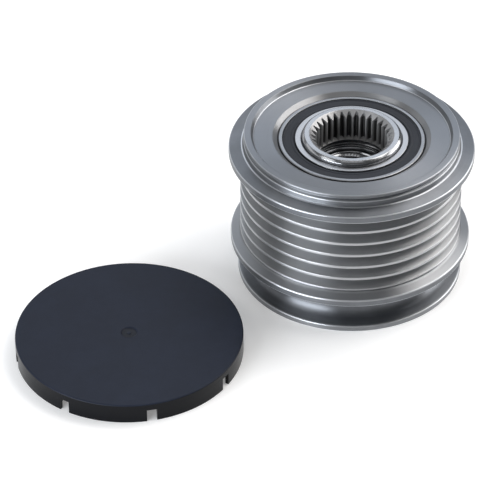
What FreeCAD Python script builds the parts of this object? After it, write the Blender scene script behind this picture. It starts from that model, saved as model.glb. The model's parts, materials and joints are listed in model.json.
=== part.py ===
"""Overrunning alternator pulley: a six-groove belt rim on two sealed ball bearings, round a roller clutch
and a threaded hub, with its dust cap taken off and lying beside it.

The pulley stands on its rear end. Its axis is Z and its rear faces are at Z = 0. Lengths are in millimetres.
"""
import FreeCAD, Part
import math
import os
import re
import Sketcher

SIZES = {
    # Belt track and flanges of the rim
    "crest_radius": 27.95,
    "groove_count": 6,
    "groove_pitch": 3.56,
    "groove_depth": 2.9,
    "groove_angle": 40.0,
    "groove_root_width": 0.7,
    "crest_bevel": 0.12,
    "first_groove_height": 14.3,
    "front_flange_depth": 2.86,
    "front_flange_edge": 1.77,
    "front_flange_slope": 1.37,
    "rear_flange_depth": 2.42,
    "rear_flange_edge": 1.8,
    "flange_bevel": 0.25,
    "flange_crown": 0.7,
    "relief_depth": 0.3,
    "relief_width": 0.72,
    # Wide groove and end flange at the rear of the rim
    "end_flange_stand": 0.62,
    "end_flange_edge": 1.5,
    "rear_groove_depth": 3.55,
    "rear_groove_slope": 1.1,
    "rear_groove_rounding": 1.6,
    "end_bevel": 0.2,
    # Spigot and recessed face at the front of the rim
    "flange_shelf": 3.56,
    "bead_draft": 0.2,
    "bead_height": 1.35,
    "snap_groove_depth": 0.65,
    "snap_groove_width": 0.35,
    "snap_groove_slope": 0.4,
    "lip_stand": 0.6,
    "lip_height": 0.98,
    "lip_bevel": 0.2,
    "lip_wall": 1.8,
    "recess_depth": 1.14,
    "recess_slope": 0.6,
    "seat_mouth": 1.3,
    "seat_mouth_depth": 1.06,
    "bearing_recess": 0.63,
    # Ball bearings
    "bearing_width": 7.0,
    "inner_ring_wall": 1.65,
    "inner_race_depth": 1.35,
    "outer_race_depth": 1.4,
    "seal_seat_step": 0.45,
    "outer_ring_wall": 1.15,
    "press_gap": 0.02,
    "ring_bevel": 0.3,
    "inner_ring_bevel": 0.55,
    "ball_seal_gap": 0.515,
    "ball_count": 12,
    "ball_gap": 0.05,
    "cage_inner_gap": 0.6,
    "cage_outer_gap": 0.6,
    "cage_web": 0.25,
    "cage_horn": 1.2,
    "pocket_gap": 0.1,
    "seal_seat_depth": 1.0,
    "seal_recess": 0.15,
    "seal_gap": 0.08,
    "seal_lip": 0.45,
    "seal_lip_drop": 0.26,
    # Rear end of the rim and of the hub
    "rear_lip_height": 0.98,
    "rear_lip_depth": 1.2,
    "hub_collar_stand": 1.1,
    # Roller clutch
    "sleeve_wall": 1.6,
    "roller_radius": 1.5,
    "roller_gap": 0.05,
    "roller_count": 8,
    "roller_end_gap": 4.0,
    "ramp_ring_drop": 0.25,
    "ramp_angle": 5.0,
    "ramp_length": 5.6,
    "ramp_start": 1.9,
    "clutch_cage_gap": 0.2,
    "clutch_cage_end_gap": 0.4,
    "window_gap": 0.15,
    "spring_length": 2.6,
    "spring_strip": 0.25,
    "spring_fold": 0.38,
    "spring_end_gap": 3.0,
    # Hub
    "hub_stand_out": 1.39,
    "hub_bevel": 0.55,
    "thread_radius": 7.19,
    "thread_mouth": 0.45,
    "step_depth": 0.8,
    "step_height": 0.7,
    "thread_cone_height": 1.1,
    "thread_cone_width": 0.86,
    "undercut_depth": 0.25,
    "undercut_height": 2.2,
    "tooth_length": 8.22,
    "tooth_count": 33,
    "tooth_tip_radius": 9.0,
    "tooth_depth": 1.25,
    "tooth_crest_width": 0.11,
    "tooth_gap_bottom": 0.35,
    "tooth_gap_overlap": 0.12,
    "gap_end_edge": 0.1,
    "gap_end_slope": 0.4,
    "tooth_phase": 92.2,
    "socket_mouth_width": 1.64,
    "hub_wall": 2.25,
    "socket_mouth_depth": 1.4,
    # Dust cap, lying beside the pulley
    "cap_x": -55.4,
    "cap_y": -35.0,
    "cap_gap": 0.05,
    "cap_wall": 0.95,
    "cap_top": 1.2,
    "cap_height": 5.3,
    "cap_rounding": 0.45,
    "cap_slot_count": 8,
    "cap_slot_width": 2.5,
    "cap_slot_web": 0.7,
    "cap_slot_phase": -77.2,
    "cap_rib": 0.4,
    "cap_rib_height": 0.8,
    "gate_radius": 2.1,
    "gate_depth": 0.3,
    "gate_nub_radius": 0.5,
}

# Heights along the axis, each written from the sizes above
TRACK_BOTTOM = "(first_groove_height - groove_pitch / 2)"
TRACK_TOP = "(first_groove_height + groove_pitch * (groove_count - 0.5))"
REAR_FLANGE_TOP = f"({TRACK_BOTTOM} - relief_width - flange_crown)"
REAR_FLANGE_BOTTOM = f"({REAR_FLANGE_TOP} - rear_flange_edge)"
FRONT_FLANGE_BOTTOM = f"({TRACK_TOP} + front_flange_slope)"
FRONT_FLANGE_TOP = f"({FRONT_FLANGE_BOTTOM} + front_flange_edge)"
SPIGOT_FOOT = f"({FRONT_FLANGE_TOP} + flange_crown)"
BEAD_TOP = f"({SPIGOT_FOOT} + bead_height)"
SNAP_BOTTOM = f"({BEAD_TOP} + snap_groove_slope)"
SNAP_TOP = f"({SNAP_BOTTOM} + snap_groove_width)"
RIM_TOP = f"({SNAP_TOP} + lip_height)"
FRONT_FACE = f"({RIM_TOP} - recess_depth)"
FRONT_BEARING_TOP = f"({FRONT_FACE} - bearing_recess)"
FRONT_BEARING = f"({FRONT_BEARING_TOP} - bearing_width)"
REAR_BEARING = "rear_lip_height"
CLUTCH_BOTTOM = f"({REAR_BEARING} + bearing_width)"
CLUTCH_LENGTH = f"({FRONT_BEARING} - {CLUTCH_BOTTOM})"
HUB_TOP = f"({FRONT_BEARING_TOP} + hub_stand_out)"
TOOTH_BOTTOM = f"({HUB_TOP} - tooth_length)"
UNDERCUT_BOTTOM = f"({TOOTH_BOTTOM} - undercut_height)"
STEP_BOTTOM = f"({UNDERCUT_BOTTOM} - step_height)"
THREAD_TOP = f"({STEP_BOTTOM} - thread_cone_height)"

# Radii of the hub, from its teeth outwards
TOOTH_ROOT = "(tooth_tip_radius + tooth_depth)"
TOOTH_GAP = "(2 * pi * tooth_tip_radius / tooth_count - tooth_crest_width)"
CONE_RADIUS = "(thread_radius + thread_cone_width)"
UNDERCUT_RADIUS = f"({TOOTH_ROOT} + undercut_depth)"
STEP_RADIUS = f"({UNDERCUT_RADIUS} - step_depth)"
MOUTH_RADIUS = "(tooth_tip_radius + socket_mouth_width)"
BEARING_BORE = f"({TOOTH_ROOT} + hub_wall)"
COLLAR_RADIUS = f"({BEARING_BORE} + hub_collar_stand)"

# Radii of a bearing, from its bore outwards
INNER_SHOULDER = f"({BEARING_BORE} + inner_ring_wall)"
BALL_CIRCLE = f"({INNER_SHOULDER} + inner_race_depth)"
OUTER_SHOULDER = f"({BALL_CIRCLE} + outer_race_depth)"
SEAL_SEAT = f"({OUTER_SHOULDER} + seal_seat_step)"
BEARING_OUTER = f"({SEAL_SEAT} + outer_ring_wall)"
BALL_CAGE_BORE = f"({INNER_SHOULDER} + cage_inner_gap)"
BALL_CAGE_RADIUS = f"({OUTER_SHOULDER} - cage_outer_gap)"
SEAL_THICKNESS = "(seal_seat_depth - seal_recess)"
BALL_RADIUS = "(bearing_width / 2 - seal_seat_depth - ball_seal_gap)"

# Radii of the rim, from the crests of its belt grooves
FRONT_FLANGE = "(crest_radius + front_flange_depth)"
REAR_FLANGE = "(crest_radius + rear_flange_depth)"
REAR_GROOVE = "(crest_radius - rear_groove_depth)"
END_FLANGE = "(crest_radius + end_flange_stand)"
FOOT_RADIUS = f"({FRONT_FLANGE} - flange_shelf)"
BEAD_RADIUS = f"({FOOT_RADIUS} - bead_draft)"
SNAP_RADIUS = f"({BEAD_RADIUS} - snap_groove_depth)"
LIP_RADIUS = f"({SNAP_RADIUS} + lip_stand)"
RECESS_RADIUS = f"({LIP_RADIUS} - lip_wall)"
REAR_LIP_RADIUS = f"({BEARING_OUTER} - rear_lip_depth)"

# Radii of the clutch and of the cap, which follow from what they seat on
SLEEVE_BORE = f"({BEARING_OUTER} - sleeve_wall)"
ROLLER_CIRCLE = f"({SLEEVE_BORE} - roller_gap - roller_radius)"
RAMP_HEIGHT = f"({ROLLER_CIRCLE} - roller_radius - roller_gap)"
RAMP_RING = f"({ROLLER_CIRCLE} - ramp_ring_drop)"
CAGE_BORE = f"({RAMP_RING} + clutch_cage_gap)"
CAGE_RADIUS = f"({SLEEVE_BORE} - clutch_cage_gap)"
ROLLER_LENGTH = f"({CLUTCH_LENGTH} - 2 * roller_end_gap)"
CAP_BORE = f"({FOOT_RADIUS} + cap_gap)"
CAP_RADIUS = f"({CAP_BORE} + cap_wall)"
CAP_CEILING = "(cap_height - cap_top)"

# Where each clutch spring starts and ends, across its window
SPRING_START = "(roller_radius + window_gap)"
SPRING_END = f"({SPRING_START} + spring_length)"

FULL_TURN = 360.0
MARGIN = 2.0

document = FreeCAD.newDocument("AlternatorPulley")


def make_sheet():
    """Writes the sizes into a spreadsheet, one alias to a row."""
    sheet = document.addObject("Spreadsheet::Sheet", "Sizes")
    for row, (alias, value) in enumerate(SIZES.items(), start=1):
        sheet.set(f"A{row}", alias)
        sheet.set(f"B{row}", str(value))
        sheet.setAlias(f"B{row}", alias)
    document.recompute()
    return sheet


sheet = make_sheet()
ALIAS = re.compile(r"\b(" + "|".join(sorted(SIZES, key=len, reverse=True)) + r")\b")


def bound(expression):
    """Returns an expression with each size's name pointing at its cell of the sheet."""
    return ALIAS.sub(r"Sizes.\1", str(expression))


def worth(expression):
    """Returns the present value of an expression."""
    value = sheet.evalExpression(bound(expression))
    return float(getattr(value, "Value", value))


def origin_feature(body, role):
    """Returns one of a body's own origin planes or axes."""
    return next(f for f in body.Origin.OriginFeatures if f.Role == role)


def new_body(label, height="0", angle="0"):
    """Starts a sub-part at a height on the axis, turned about it by an angle in degrees."""
    body = document.addObject("PartDesign::Body", label)
    body.Label = label
    body.setExpression("Placement.Base.z", bound(height))
    body.setExpression("Placement.Rotation.Angle", bound(f"({angle}) * 1deg"))
    return body


def new_sketch(body, name, plane="XZ_Plane"):
    """Starts a sketch on one of the body's origin planes."""
    sketch = body.newObject("Sketcher::SketchObject", name)
    sketch.AttachmentSupport = [(origin_feature(body, plane), "")]
    sketch.MapMode = "FlatFace"
    return sketch


def bind(sketch, constraint, expression):
    """Adds a constraint whose value follows an expression."""
    index = sketch.addConstraint(constraint)
    sketch.setExpression(f"Constraints[{index}]", bound(expression))


def outline(sketch, corners):
    """Draws a closed outline of straight edges, with each corner bound to its two expressions."""
    places = [FreeCAD.Vector(worth(x), worth(y), 0) for x, y in corners]
    count = len(places)
    edges = [sketch.addGeometry(Part.LineSegment(places[i], places[(i + 1) % count])) for i in range(count)]
    for i, (x, y) in enumerate(corners):
        edge = edges[i]
        sketch.addConstraint(Sketcher.Constraint("Coincident", edges[i - 1], 2, edge, 1))
        bind(sketch, Sketcher.Constraint("DistanceX", -1, 1, edge, 1, places[i].x), x)
        bind(sketch, Sketcher.Constraint("DistanceY", -1, 1, edge, 1, places[i].y), y)


def circle(sketch, x, y, radius):
    """Draws a circle with its centre and radius bound to expressions."""
    centre = FreeCAD.Vector(worth(x), worth(y), 0)
    index = sketch.addGeometry(Part.Circle(centre, FreeCAD.Vector(0, 0, 1), worth(radius)))
    bind(sketch, Sketcher.Constraint("DistanceX", -1, 1, index, 3, centre.x), x)
    bind(sketch, Sketcher.Constraint("DistanceY", -1, 1, index, 3, centre.y), y)
    bind(sketch, Sketcher.Constraint("Radius", index, worth(radius)), radius)


def turned(body, name, corners, kind="PartDesign::Revolution"):
    """Turns an outline of radius and height pairs about the body's axis, as added or removed material."""
    sketch = new_sketch(body, f"{name}_profile")
    outline(sketch, corners)
    feature = body.newObject(kind, name)
    feature.Profile = sketch
    feature.ReferenceAxis = (sketch, ["V_Axis"])
    feature.Angle = FULL_TURN
    return feature


def raceway(body, name, height, radius):
    """Cuts the round groove that the balls run in."""
    sketch = new_sketch(body, f"{name}_profile")
    circle(sketch, BALL_CIRCLE, height, radius)
    feature = body.newObject("PartDesign::Groove", name)
    feature.Profile = sketch
    feature.ReferenceAxis = (sketch, ["V_Axis"])
    feature.Angle = FULL_TURN
    return feature


def polar(body, feature, count):
    """Repeats a feature round the body's axis."""
    pattern = body.newObject("PartDesign::PolarPattern", f"{feature.Name}_pattern")
    pattern.Originals = [feature]
    pattern.Axis = (origin_feature(body, "Z_Axis"), [""])
    pattern.Angle = FULL_TURN
    pattern.setExpression("Occurrences", bound(count))
    body.Tip = pattern
    return pattern


def stack(body, feature, count, pitch):
    """Repeats a feature along the body's axis."""
    pattern = body.newObject("PartDesign::LinearPattern", f"{feature.Name}_pattern")
    pattern.Originals = [feature]
    pattern.Direction = (origin_feature(body, "Z_Axis"), [""])
    pattern.setExpression("Length", bound(f"{pitch} * ({count} - 1)"))
    pattern.setExpression("Occurrences", bound(count))
    body.Tip = pattern
    return pattern


def edges_at(shape, radius, height):
    """Names the circular edges of a shape that have a given radius and height."""
    names = []
    for number, edge in enumerate(shape.Edges, start=1):
        curve = edge.Curve
        if isinstance(curve, Part.Circle) and math.isclose(curve.Radius, radius, abs_tol=1e-4):
            if math.isclose(curve.Center.z, height, abs_tol=1e-4):
                names.append(f"Edge{number}")
    return names


def rounded(body, name, base, places, radius):
    """Rounds the circular edges found at the given radius and height pairs."""
    document.recompute()
    names = [edge for r, z in places for edge in edges_at(base.Shape, worth(r), worth(z))]
    fillet = body.newObject("PartDesign::Fillet", name)
    fillet.Base = (base, names)
    fillet.setExpression("Radius", bound(radius))
    return fillet


def pulley_rim():
    """Belt rim: ribbed track between two flanges, wide groove at the rear, bearing seat in front."""
    body = new_body("pulley_rim")
    groove_floor_low = "(end_flange_edge + rear_groove_slope)"
    groove_floor_high = f"({REAR_FLANGE_BOTTOM} - rear_groove_slope)"
    blank = turned(body, "rim_blank", [
        (REAR_LIP_RADIUS, "0"),
        (f"{END_FLANGE} - end_bevel", "0"),
        (END_FLANGE, "end_bevel"),
        (END_FLANGE, "end_flange_edge"),
        (REAR_GROOVE, groove_floor_low),
        (REAR_GROOVE, groove_floor_high),
        (REAR_FLANGE, REAR_FLANGE_BOTTOM),
        (REAR_FLANGE, f"{REAR_FLANGE_TOP} - flange_bevel"),
        (f"{REAR_FLANGE} - flange_bevel", REAR_FLANGE_TOP),
        ("crest_radius + relief_depth", f"{REAR_FLANGE_TOP} + flange_crown"),
        ("crest_radius - relief_depth", f"{TRACK_BOTTOM} - relief_width / 2"),
        ("crest_radius", TRACK_BOTTOM),
        ("crest_radius", TRACK_TOP),
        (FRONT_FLANGE, FRONT_FLANGE_BOTTOM),
        (FRONT_FLANGE, f"{FRONT_FLANGE_TOP} - flange_bevel"),
        (f"{FRONT_FLANGE} - flange_bevel", FRONT_FLANGE_TOP),
        (FOOT_RADIUS, SPIGOT_FOOT),
        (BEAD_RADIUS, BEAD_TOP),
        (SNAP_RADIUS, SNAP_BOTTOM),
        (SNAP_RADIUS, SNAP_TOP),
        (LIP_RADIUS, f"{SNAP_TOP} + lip_bevel"),
        (LIP_RADIUS, f"{RIM_TOP} - lip_bevel"),
        (f"{LIP_RADIUS} - lip_bevel", RIM_TOP),
        (RECESS_RADIUS, RIM_TOP),
        (f"{RECESS_RADIUS} - recess_slope", FRONT_FACE),
        (f"{BEARING_OUTER} + seat_mouth", FRONT_FACE),
        (BEARING_OUTER, f"{FRONT_FACE} - seat_mouth_depth"),
        (BEARING_OUTER, "rear_lip_height"),
        (REAR_LIP_RADIUS, "rear_lip_height"),
    ])
    base = rounded(body, "rear_groove_fillets", blank, [
        (REAR_GROOVE, groove_floor_low),
        (REAR_GROOVE, groove_floor_high),
    ], "rear_groove_rounding")
    half_root = "groove_root_width / 2"
    half_mouth = f"({half_root} + (groove_depth - crest_bevel) * tan(groove_angle / 2 * 1deg))"
    groove = turned(body, "belt_groove", [
        ("crest_radius - groove_depth", f"first_groove_height - {half_root}"),
        ("crest_radius - crest_bevel", f"first_groove_height - {half_mouth}"),
        ("crest_radius + crest_bevel", f"first_groove_height - {half_mouth} - 2 * crest_bevel"),
        ("crest_radius + crest_bevel", f"first_groove_height + {half_mouth} + 2 * crest_bevel"),
        ("crest_radius - crest_bevel", f"first_groove_height + {half_mouth}"),
        ("crest_radius - groove_depth", f"first_groove_height + {half_root}"),
    ], "PartDesign::Groove")
    stack(body, groove, "groove_count", "groove_pitch")
    return body


def hub():
    """Hub: rear collar, bore for the shaft's thread, stepped floor, undercut and toothed socket."""
    body = new_body("hub")
    turned(body, "hub_blank", [
        ("thread_radius + thread_mouth", "0"),
        (f"{COLLAR_RADIUS} - end_bevel", "0"),
        (COLLAR_RADIUS, "end_bevel"),
        (COLLAR_RADIUS, "rear_lip_height"),
        (BEARING_BORE, "rear_lip_height"),
        (BEARING_BORE, f"{HUB_TOP} - hub_bevel"),
        (f"{BEARING_BORE} - hub_bevel", HUB_TOP),
        (MOUTH_RADIUS, HUB_TOP),
        ("tooth_tip_radius", f"{HUB_TOP} - socket_mouth_depth"),
        ("tooth_tip_radius", TOOTH_BOTTOM),
        (UNDERCUT_RADIUS, TOOTH_BOTTOM),
        (UNDERCUT_RADIUS, UNDERCUT_BOTTOM),
        (STEP_RADIUS, UNDERCUT_BOTTOM),
        (STEP_RADIUS, STEP_BOTTOM),
        (CONE_RADIUS, STEP_BOTTOM),
        ("thread_radius", THREAD_TOP),
        ("thread_radius", "thread_mouth"),
    ])
    sketch = new_sketch(body, "tooth_gap_outline", "XY_Plane")
    sketch.setExpression("AttachmentOffset.Base.z", bound(HUB_TOP))
    sketch.setExpression("AttachmentOffset.Rotation.Angle", bound("tooth_phase * 1deg"))
    outline(sketch, [
        ("tooth_tip_radius - tooth_gap_overlap", f"-{TOOTH_GAP} / 2"),
        (TOOTH_ROOT, "-tooth_gap_bottom / 2"),
        (TOOTH_ROOT, "tooth_gap_bottom / 2"),
        ("tooth_tip_radius - tooth_gap_overlap", f"{TOOTH_GAP} / 2"),
    ])
    gap = body.newObject("PartDesign::Pocket", "tooth_gap")
    gap.Profile = sketch
    gap.setExpression("Length", bound("tooth_length + undercut_height / 2"))
    polar(body, gap, "tooth_count")
    turned(body, "gap_ends", [
        ("tooth_tip_radius", TOOTH_BOTTOM),
        (UNDERCUT_RADIUS, TOOTH_BOTTOM),
        (UNDERCUT_RADIUS, f"{TOOTH_BOTTOM} + gap_end_edge + gap_end_slope"),
        ("tooth_tip_radius", f"{TOOTH_BOTTOM} + gap_end_edge"),
    ])
    return body


def bearing(name, height):
    """One sealed ball bearing: two rings, a ball cage, the balls and a seal on each side."""
    middle = "(bearing_width / 2)"
    race = f"({BALL_RADIUS} + ball_gap)"
    outer = new_body(f"{name}_bearing_outer_ring", height)
    rim_fit = f"({BEARING_OUTER} - press_gap)"
    turned(outer, f"{name}_outer_blank", [
        (SEAL_SEAT, "0"),
        (f"{rim_fit} - ring_bevel", "0"),
        (rim_fit, "ring_bevel"),
        (rim_fit, "bearing_width - ring_bevel"),
        (f"{rim_fit} - ring_bevel", "bearing_width"),
        (SEAL_SEAT, "bearing_width"),
        (SEAL_SEAT, "bearing_width - seal_seat_depth"),
        (OUTER_SHOULDER, "bearing_width - seal_seat_depth"),
        (OUTER_SHOULDER, "seal_seat_depth"),
        (SEAL_SEAT, "seal_seat_depth"),
    ])
    raceway(outer, f"{name}_outer_race", middle, race)
    inner = new_body(f"{name}_bearing_inner_ring", height)
    hub_fit = f"({BEARING_BORE} + press_gap)"
    turned(inner, f"{name}_inner_blank", [
        (f"{hub_fit} + inner_ring_bevel", "0"),
        (INNER_SHOULDER, "0"),
        (INNER_SHOULDER, "bearing_width"),
        (f"{hub_fit} + inner_ring_bevel", "bearing_width"),
        (hub_fit, "bearing_width - inner_ring_bevel"),
        (hub_fit, "inner_ring_bevel"),
    ])
    raceway(inner, f"{name}_inner_race", middle, race)
    seal(f"{name}_bearing_lower_seal", height, "seal_seat_depth", "-")
    seal(f"{name}_bearing_upper_seal", height, "(bearing_width - seal_seat_depth)", "+")
    ball_cage(f"{name}_bearing_ball_cage", height)
    for number in range(round(SIZES["ball_count"])):
        ball(f"{name}_bearing_ball_{number + 1:02d}", f"{height} + {middle}", number)


def seal(label, height, base, way):
    """Rubber seal in its seat in the outer ring, thinned to a lip that stops short of the inner ring."""
    body = new_body(label, height)
    face = f"({base} {way} {SEAL_THICKNESS})"
    lip_face = f"({base} {way} ({SEAL_THICKNESS} - seal_lip_drop))"
    turned(body, f"{label}_blank", [
        (f"{INNER_SHOULDER} + seal_gap", base),
        (f"{SEAL_SEAT} - press_gap", base),
        (f"{SEAL_SEAT} - press_gap", face),
        (f"{INNER_SHOULDER} + seal_gap + seal_lip", face),
        (f"{INNER_SHOULDER} + seal_gap", lip_face),
    ])


def ball_cage(label, height):
    """Crown cage: a ring with round pockets that are open at the top, so that the balls snap in."""
    body = new_body(label, height)
    pocket_radius = f"({BALL_RADIUS} + pocket_gap)"
    turned(body, f"{label}_ring", [
        (BALL_CAGE_BORE, f"bearing_width / 2 - {pocket_radius} - cage_web"),
        (BALL_CAGE_RADIUS, f"bearing_width / 2 - {pocket_radius} - cage_web"),
        (BALL_CAGE_RADIUS, "bearing_width / 2 + cage_horn"),
        (BALL_CAGE_BORE, "bearing_width / 2 + cage_horn"),
    ])
    sketch = new_sketch(body, f"{label}_pocket_outline", "YZ_Plane")
    circle(sketch, "0", "bearing_width / 2", pocket_radius)
    pocket = body.newObject("PartDesign::Pocket", f"{label}_pocket")
    pocket.Profile = sketch
    pocket.Reversed = True
    pocket.setExpression("Length", bound(f"{BALL_CAGE_RADIUS} + {MARGIN}"))
    polar(body, pocket, "ball_count")


def ball(label, height, number):
    """One ball, on the pitch circle between the two raceways."""
    piece = document.addObject("Part::Sphere", label)
    piece.Label = label
    piece.setExpression("Radius", bound(BALL_RADIUS))
    angle = f"({number} * 360deg / ball_count)"
    piece.setExpression("Placement.Base.x", bound(f"{BALL_CIRCLE} * cos({angle})"))
    piece.setExpression("Placement.Base.y", bound(f"{BALL_CIRCLE} * sin({angle})"))
    piece.setExpression("Placement.Base.z", bound(height))


def clutch():
    """Roller clutch between the bearings: sleeve, ramp ring, cage, rollers and their springs."""
    sleeve = new_body("clutch_sleeve", CLUTCH_BOTTOM)
    turned(sleeve, "sleeve_blank", [
        (SLEEVE_BORE, "0"),
        (f"{BEARING_OUTER} - press_gap - ring_bevel", "0"),
        (f"{BEARING_OUTER} - press_gap", "ring_bevel"),
        (f"{BEARING_OUTER} - press_gap", f"{CLUTCH_LENGTH} - ring_bevel"),
        (f"{BEARING_OUTER} - press_gap - ring_bevel", CLUTCH_LENGTH),
        (SLEEVE_BORE, CLUTCH_LENGTH),
    ])
    ramp_ring()
    clutch_cage()
    for number in range(round(SIZES["roller_count"])):
        roller(number)
        roller_spring(number)


def ramp_ring():
    """Ring pressed on the hub, with a ramp under each roller that wedges it when the rim turns back."""
    body = new_body("clutch_ramp_ring", CLUTCH_BOTTOM)
    turned(body, "ramp_ring_blank", [
        (f"{BEARING_BORE} + press_gap", "0"),
        (RAMP_RING, "0"),
        (RAMP_RING, CLUTCH_LENGTH),
        (f"{BEARING_BORE} + press_gap", CLUTCH_LENGTH),
    ])
    sketch = new_sketch(body, "ramp_outline", "XY_Plane")
    rise = "tan(ramp_angle * 1deg)"
    outline(sketch, [
        (f"{RAMP_HEIGHT} + ramp_start * {rise}", "-ramp_start"),
        (f"{RAMP_RING} + {MARGIN}", "-ramp_start"),
        (f"{RAMP_RING} + {MARGIN}", "ramp_length - ramp_start"),
        (f"{RAMP_HEIGHT} - (ramp_length - ramp_start) * {rise}", "ramp_length - ramp_start"),
    ])
    pocket = body.newObject("PartDesign::Pocket", "ramp")
    pocket.Profile = sketch
    pocket.Reversed = True
    pocket.setExpression("Length", bound(CLUTCH_LENGTH))
    polar(body, pocket, "roller_count")


def clutch_cage():
    """Cage that holds each roller and its spring in a window."""
    body = new_body("clutch_cage", CLUTCH_BOTTOM)
    top = f"({CLUTCH_LENGTH} - clutch_cage_end_gap)"
    turned(body, "clutch_cage_ring", [
        (CAGE_BORE, "clutch_cage_end_gap"),
        (CAGE_RADIUS, "clutch_cage_end_gap"),
        (CAGE_RADIUS, top),
        (CAGE_BORE, top),
    ])
    sketch = new_sketch(body, "window_outline", "YZ_Plane")
    near = "(-roller_radius - window_gap)"
    far = f"({SPRING_END} + 2 * window_gap)"
    low = "(roller_end_gap - window_gap)"
    high = f"({CLUTCH_LENGTH} - roller_end_gap + window_gap)"
    outline(sketch, [(near, low), (far, low), (far, high), (near, high)])
    window = body.newObject("PartDesign::Pocket", "window")
    window.Profile = sketch
    window.Reversed = True
    window.setExpression("Length", bound(f"{CAGE_RADIUS} + {MARGIN}"))
    polar(body, window, "roller_count")


def roller(number):
    """One clutch roller, on its ramp and just clear of the sleeve."""
    label = f"clutch_roller_{number + 1}"
    piece = document.addObject("Part::Cylinder", label)
    piece.Label = label
    piece.setExpression("Radius", bound("roller_radius"))
    piece.setExpression("Height", bound(ROLLER_LENGTH))
    angle = f"({number} * 360deg / roller_count)"
    piece.setExpression("Placement.Base.x", bound(f"{ROLLER_CIRCLE} * cos({angle})"))
    piece.setExpression("Placement.Base.y", bound(f"{ROLLER_CIRCLE} * sin({angle})"))
    piece.setExpression("Placement.Base.z", bound(f"{CLUTCH_BOTTOM} + roller_end_gap"))


def roller_spring(number):
    """Folded leaf spring in the window behind one roller, which keeps the roller up its ramp."""
    label = f"clutch_spring_{number + 1}"
    foot = f"({CLUTCH_BOTTOM} + roller_end_gap + spring_end_gap)"
    body = new_body(label, foot, f"{number} * 360 / roller_count")
    sketch = new_sketch(body, f"{label}_strip", "XY_Plane")
    low = f"({CAGE_BORE} + clutch_cage_gap)"
    high = f"({CAGE_RADIUS} - clutch_cage_gap)"
    bend = f"({SPRING_START} + spring_length / 2)"
    outline(sketch, [
        (low, SPRING_START),
        (f"{low} + spring_strip", SPRING_START),
        (high, f"{bend} - spring_strip"),
        (high, f"{bend} + spring_strip"),
        (f"{low} + spring_strip", SPRING_END),
        (low, SPRING_END),
        (f"{high} - spring_fold", bend),
    ])
    strip = body.newObject("PartDesign::Pad", f"{label}_pad")
    strip.Profile = sketch
    strip.setExpression("Length", bound(f"{ROLLER_LENGTH} - 2 * spring_end_gap"))


def dust_cap():
    """Moulded cap: a flat disc with a slotted skirt, whose ribs snap into the groove under the rim's lip."""
    body = new_body("dust_cap", "0", "cap_slot_phase")
    body.setExpression("Placement.Base.x", bound("cap_x"))
    body.setExpression("Placement.Base.y", bound("cap_y"))
    gate_floor = "(cap_height - gate_depth)"
    slot_top = f"{CAP_CEILING} - cap_slot_web"
    rib_top = f"({CAP_CEILING} - lip_height - cap_gap)"
    shell = turned(body, "cap_shell", [
        ("0", CAP_CEILING),
        (CAP_BORE, CAP_CEILING),
        (CAP_BORE, rib_top),
        (f"{CAP_BORE} - cap_rib", f"{rib_top} - cap_rib"),
        (f"{CAP_BORE} - cap_rib", f"{rib_top} - cap_rib_height"),
        (CAP_BORE, f"{rib_top} - cap_rib - cap_rib_height"),
        (CAP_BORE, "0"),
        (CAP_RADIUS, "0"),
        (CAP_RADIUS, "cap_height"),
        ("gate_radius", "cap_height"),
        ("gate_radius - gate_depth", gate_floor),
        ("gate_nub_radius", gate_floor),
        ("gate_nub_radius", "cap_height - gate_depth / 2"),
        ("0", "cap_height - gate_depth / 2"),
    ])
    rounded(body, "cap_edge", shell, [(CAP_RADIUS, "cap_height")], "cap_rounding")
    sketch = new_sketch(body, "cap_slot_outline", "YZ_Plane")
    outline(sketch, [
        ("-cap_slot_width / 2", f"-{MARGIN}"),
        ("cap_slot_width / 2", f"-{MARGIN}"),
        ("cap_slot_width / 2", slot_top),
        ("-cap_slot_width / 2", slot_top),
    ])
    slot = body.newObject("PartDesign::Pocket", "cap_slot")
    slot.Profile = sketch
    slot.Reversed = True
    slot.setExpression("Length", bound(f"{CAP_RADIUS} + {MARGIN}"))
    polar(body, slot, "cap_slot_count")


def sub_parts():
    """Returns the objects that are pieces of the pulley."""
    kinds = ("PartDesign::Body", "Part::Sphere", "Part::Cylinder")
    return [item for item in document.Objects if item.TypeId in kinds]


def check_model():
    """Stops the build if any object failed or any sub-part is missing or faulty."""
    failed = [item.Name for item in document.Objects if "Invalid" in item.State or "Error" in item.State]
    if failed:
        raise RuntimeError(f"failed objects: {failed}")
    for piece in sub_parts():
        if piece.Shape.isNull() or not piece.Shape.isValid():
            raise RuntimeError(f"faulty shape: {piece.Label}")


def write_parts():
    """Writes each sub-part to its own file."""
    os.makedirs("parts", exist_ok=True)
    for piece in sub_parts():
        piece.Shape.exportStep(f"parts/{piece.Label}.step")


pulley_rim()
hub()
bearing("rear", REAR_BEARING)
bearing("front", FRONT_BEARING)
clutch()
dust_cap()
document.recompute()
check_model()
write_parts()
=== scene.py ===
"""Looks of an overrunning alternator pulley and its dust cap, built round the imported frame.

The pulley stands on its rear end with its axis along Z, and the cap lies beside it. Sizes in the classes are
in millimetres and become metres where a mesh is made.
"""
import json
import logging
import math
from contextlib import contextmanager
from dataclasses import dataclass
from enum import Enum
from typing import Callable, Iterator, Optional, Sequence, Union

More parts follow.
